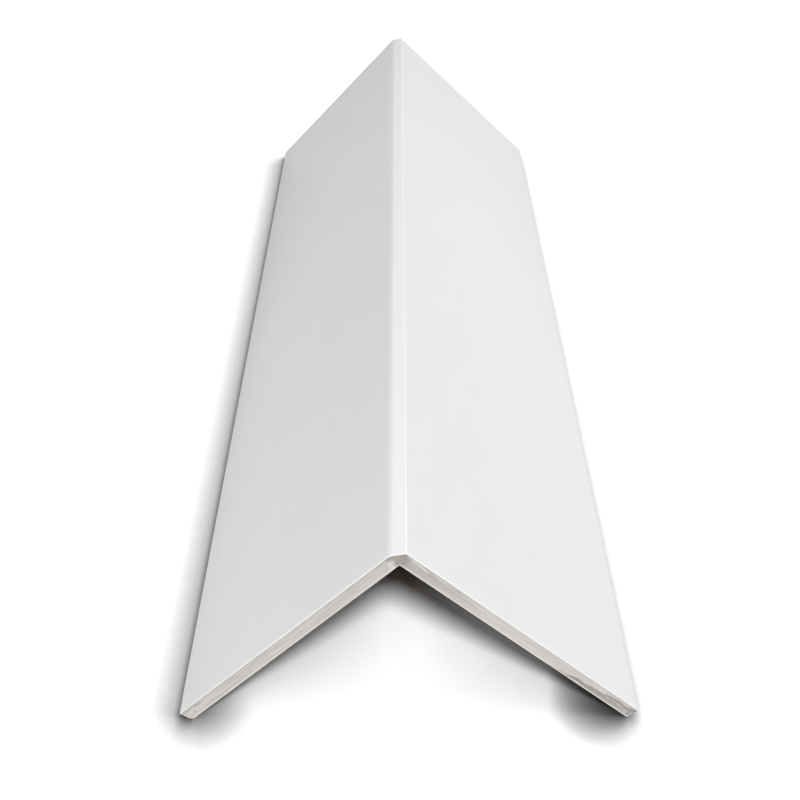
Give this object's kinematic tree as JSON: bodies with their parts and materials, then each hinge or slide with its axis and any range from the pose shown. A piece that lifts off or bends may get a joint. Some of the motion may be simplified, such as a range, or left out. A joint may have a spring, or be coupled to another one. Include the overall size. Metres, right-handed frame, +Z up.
{
  "type": "l-shaped trim",
  "caption": "L-shaped corner trim: a rigid board angle with a thin white film over its outer faces and eased outer corner, raw square long edges and sawn ends.",
  "frame": {"origin": "on the floor, under the middle of the trim's bounding box, as it lies on its two long edges with the corner up", "axes": "+Y along the trim, away from the cut end that the picture shows nearest; +X towards the wider leg; +Z up"},
  "size_m": [0.139, 0.4, 0.0703],
  "materials": {
    "core": "matte",
    "face_film": "satin"
  },
  "bodies": {
    "root": {"core": "core", "face_film": "face_film"}
  },
  "joints": []
}
